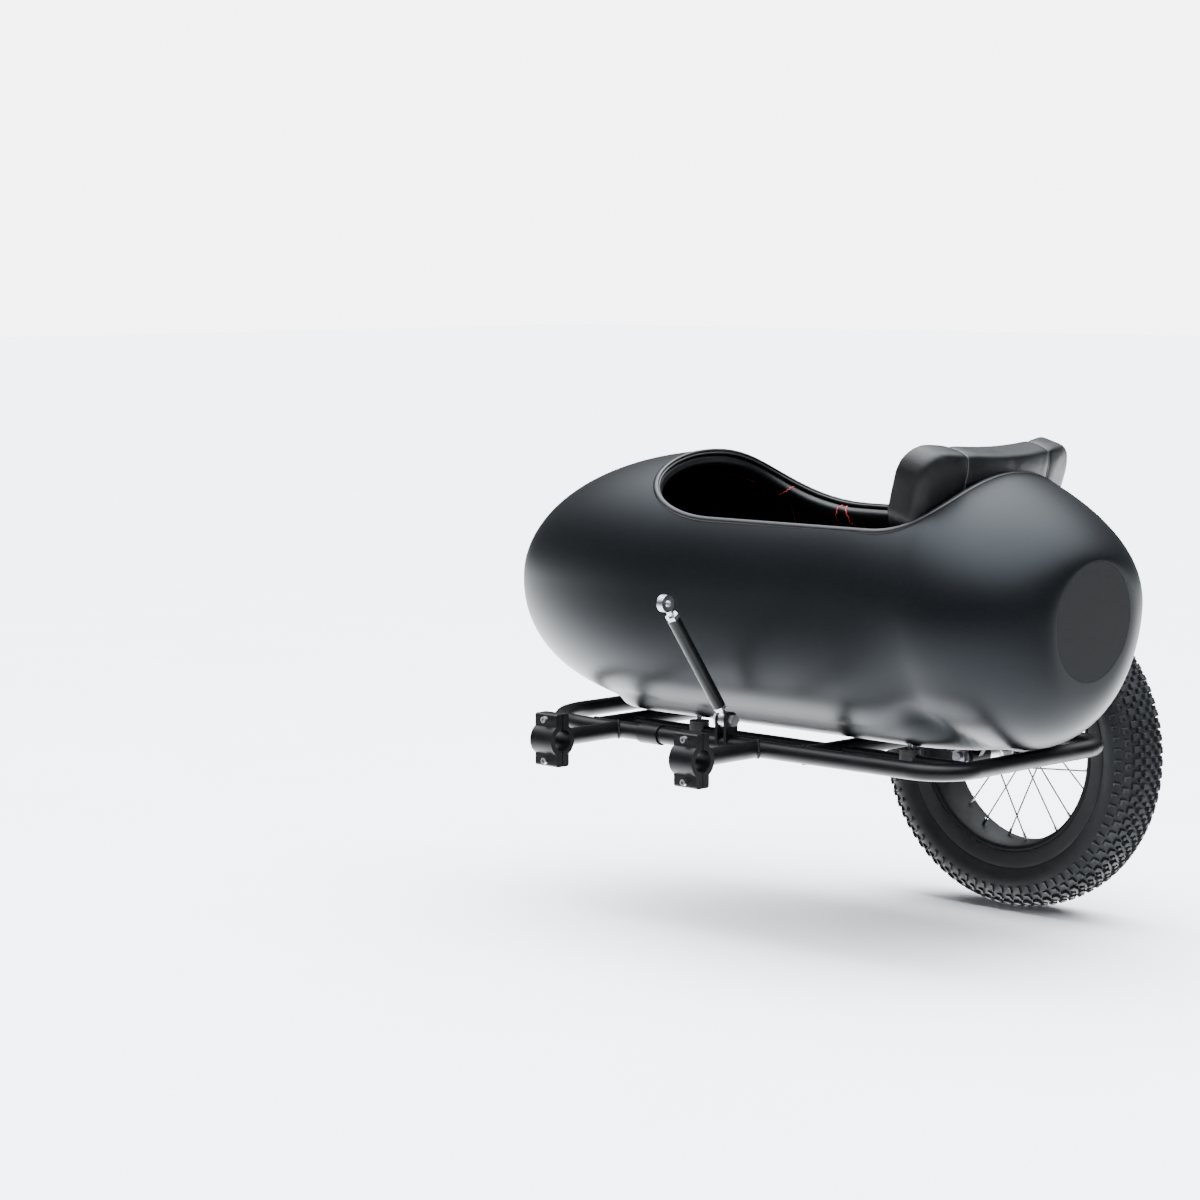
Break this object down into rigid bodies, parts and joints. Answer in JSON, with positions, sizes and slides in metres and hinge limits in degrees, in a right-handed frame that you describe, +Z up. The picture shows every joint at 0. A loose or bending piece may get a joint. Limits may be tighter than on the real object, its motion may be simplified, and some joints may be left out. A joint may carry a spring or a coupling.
{
  "type": "bicycle sidecar",
  "caption": "Single-seat bicycle sidecar: teardrop body on a tube ring chassis, one wide spoked wheel, split clamps and a stay that join it to the bicycle.",
  "frame": {"origin": "centre of the rear clamp's bore, on the bicycle's lower frame tube", "axes": "+X to the right, away from the bicycle; +Y forward; +Z up"},
  "size_m": [0.729, 1.0634, 0.7347],
  "materials": {
    "body_paint": "satin, fine metallic fleck",
    "chassis_paint": "satin powder coat",
    "zinc_steel": "zinc plated",
    "hub_black": "black anodised",
    "rim_black": "satin black",
    "black_plastic": "matte",
    "spoke_steel": "dark drawn steel",
    "nipple_silver": "nickel plated",
    "tyre_rubber": "matte rubber",
    "trim_rubber": "satin rubber",
    "black_leather": "grained, satin",
    "lining_fabric": "quilted, with red stitching",
    "plywood": "stained dark"
  },
  "bodies": {
    "chassis": {"rear_loop": "chassis_paint", "front_loop": "chassis_paint", "collar_left": "chassis_paint", "collar_right": "chassis_paint", "axle_cross_tube": "chassis_paint", "front_cross_tube": "chassis_paint", "rear_rail_left": "chassis_paint", "rear_rail_right": "chassis_paint", "front_rail_left": "chassis_paint", "front_rail_right": "chassis_paint", "rear_arm": "chassis_paint", "front_arm": "chassis_paint", "rear_clamp_body": "chassis_paint", "rear_clamp_cap": "chassis_paint", "front_clamp_body": "chassis_paint", "front_clamp_cap": "chassis_paint", "axle_carrier": "chassis_paint", "stay_bracket": "chassis_paint", "back_bracket_left": "chassis_paint", "back_bracket_right": "chassis_paint", "rear_clamp_bolts": "zinc_steel", "front_clamp_bolts": "zinc_steel", "axle_nut_inner": "zinc_steel", "axle_nut_outer": "zinc_steel", "stub_axle": "zinc_steel", "stay_pin": "zinc_steel", "pod_bolts": "zinc_steel", "tail_plate": "black_plastic", "pod_shell": "body_paint", "rim_bead": "trim_rubber", "pod_pads": "trim_rubber", "floor_mat": "trim_rubber", "coaming_pad": "black_leather", "seat_cushion": "black_leather", "back_cushion": "black_leather", "lining": "lining_fabric", "riser_left": "plywood", "riser_right": "plywood", "riser_front": "plywood", "seat_board": "plywood", "back_board": "plywood"},
    "wheel": {"hub_shell": "hub_black", "bearing_inner": "zinc_steel", "bearing_outer": "zinc_steel", "dust_cap": "black_plastic", "rim": "rim_black", "spokes_left": "spoke_steel", "spokes_right": "spoke_steel", "nipples_left": "nipple_silver", "nipples_right": "nipple_silver", "tyre": "tyre_rubber", "valve_stem": "tyre_rubber", "valve_cap": "black_plastic"},
    "stay": {"stay_tube": "chassis_paint", "stay_lower_eye": "zinc_steel", "stay_upper_eye": "zinc_steel", "stay_lower_nut": "zinc_steel", "stay_upper_nut": "zinc_steel"}
  },
  "joints": [
    {"name": "wheel_spin", "type": "hinge", "parent": "chassis", "child": "wheel", "pos_m": [0.65, -0.086, -0.0425], "axis": [1, 0, 0], "continuous": true},
    {"name": "stay_swing", "type": "hinge", "parent": "chassis", "child": "stay", "pos_m": [0.141, 0.062, 0.036], "axis": [0, 1, 0], "range_deg": [-54, 18]}
  ]
}
